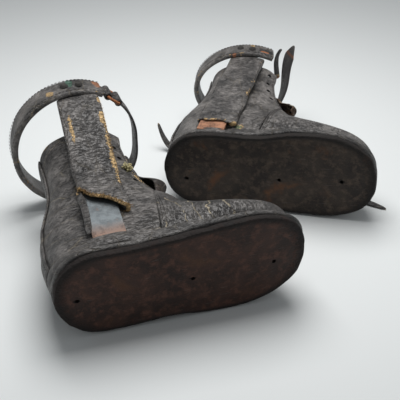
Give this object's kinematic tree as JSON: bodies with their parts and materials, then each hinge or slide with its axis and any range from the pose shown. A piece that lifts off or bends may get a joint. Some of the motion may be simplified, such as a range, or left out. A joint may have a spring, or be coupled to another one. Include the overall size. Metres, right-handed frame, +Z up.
{
  "type": "leather brace boots",
  "caption": "Pair of small laced leather boots with steel side uprights in leather sleeves, leather-covered calf bands, hinged closing straps and flat drilled soles.",
  "frame": {"origin": "centre of the footprint of the pair as it lies, on the ground plane", "axes": "+Z up from the ground the boots lie on, +X the way both toes point, +Y away from the soles, along the legs"},
  "size_m": [0.2974, 0.3278, 0.1059],
  "materials": {
    "outsole_leather": "worn smooth, scuffed and stained",
    "welt_leather": "blackened edge, dry",
    "insole_leather": "undyed, dusty",
    "vamp_leather": "blackened, cracked with pale lines",
    "quarter_leather": "blackened, creased, dry",
    "tongue_leather": "brown, crumpled",
    "eyelet_brass": "crusted, dull",
    "upright_steel": "blued grey, rust along the lower edge",
    "sleeve_leather": "blackened, scuffed to tan along the edges",
    "band_steel": "dull, covered",
    "band_leather": "blackened, worn to brown",
    "rivet_brass": "dull ochre and green",
    "rusty_iron": "orange rust",
    "strap_leather": "stiff, blackened"
  },
  "bodies": {
    "right_boot": {"right_outsole": "outsole_leather", "right_welt": "welt_leather", "right_insole": "insole_leather", "right_rand": "welt_leather", "right_vamp": "vamp_leather", "right_quarter_outer": "quarter_leather", "right_quarter_inner": "quarter_leather", "right_backstay": "quarter_leather", "right_eyelets": "eyelet_brass", "right_stirrup": "upright_steel", "right_sleeve_outer": "sleeve_leather", "right_sleeve_inner": "sleeve_leather", "right_calf_band": "band_steel", "right_band_cover": "band_leather", "right_band_rivets": "rivet_brass"},
    "right_tongue_flap": {"right_tongue": "tongue_leather"},
    "right_strap": {"right_loop": "rusty_iron", "right_closing_strap": "strap_leather"},
    "left_boot": {"left_outsole": "outsole_leather", "left_welt": "welt_leather", "left_insole": "insole_leather", "left_rand": "welt_leather", "left_vamp": "vamp_leather", "left_quarter_outer": "quarter_leather", "left_quarter_inner": "quarter_leather", "left_backstay": "quarter_leather", "left_stirrup": "upright_steel", "left_sleeve_outer": "sleeve_leather", "left_sleeve_inner": "sleeve_leather", "left_calf_band": "band_steel", "left_band_cover": "band_leather", "left_band_rivets": "rivet_brass", "left_short_tab": "strap_leather", "left_ankle_rivet": "rivet_brass"},
    "left_tongue_flap": {"left_tongue": "tongue_leather"},
    "left_strap": {"left_loop": "rusty_iron", "left_closing_strap": "strap_leather"},
    "ankle_strap_long_end": {"left_ankle_strap_front": "strap_leather"},
    "ankle_strap_short_end": {"left_ankle_strap_rear": "strap_leather"}
  },
  "joints": [
    {"name": "left_boot_apart", "type": "slide", "parent": "right_boot", "child": "left_boot", "axis": [0, 1, 0], "range_m": [0, 0.12]},
    {"name": "right_tongue_fold", "type": "hinge", "parent": "right_boot", "child": "right_tongue_flap", "pos_m": [-0.0296, -0.06081, 0.04188], "axis": [0.0117, 0.1023, -0.9947], "range_deg": [-12, 45]},
    {"name": "right_strap_swing", "type": "hinge", "parent": "right_boot", "child": "right_strap", "pos_m": [-0.07224, 0.01645, 0.09344], "axis": [0.3325, -0.9386, -0.0926], "range_deg": [0, 26]},
    {"name": "left_tongue_fold", "type": "hinge", "parent": "left_boot", "child": "left_tongue_flap", "pos_m": [0.07233, 0.0698, 0.04156], "axis": [0.0528, 0.0497, -0.9974], "range_deg": [-12, 45]},
    {"name": "left_strap_swing", "type": "hinge", "parent": "left_boot", "child": "left_strap", "pos_m": [0.07086, 0.14882, 0.01271], "axis": [0.0783, 0.9955, 0.0538], "range_deg": [-2, 60]},
    {"name": "ankle_long_end_swing", "type": "hinge", "parent": "left_boot", "child": "ankle_strap_long_end", "pos_m": [0.02541, 0.0634, 0.00093], "axis": [0, 0, 1], "range_deg": [-3, 6]},
    {"name": "ankle_short_end_swing", "type": "hinge", "parent": "left_boot", "child": "ankle_strap_short_end", "pos_m": [0.02541, 0.0634, 0.00093], "axis": [0, 0, 1], "range_deg": [-6, 4]}
  ]
}
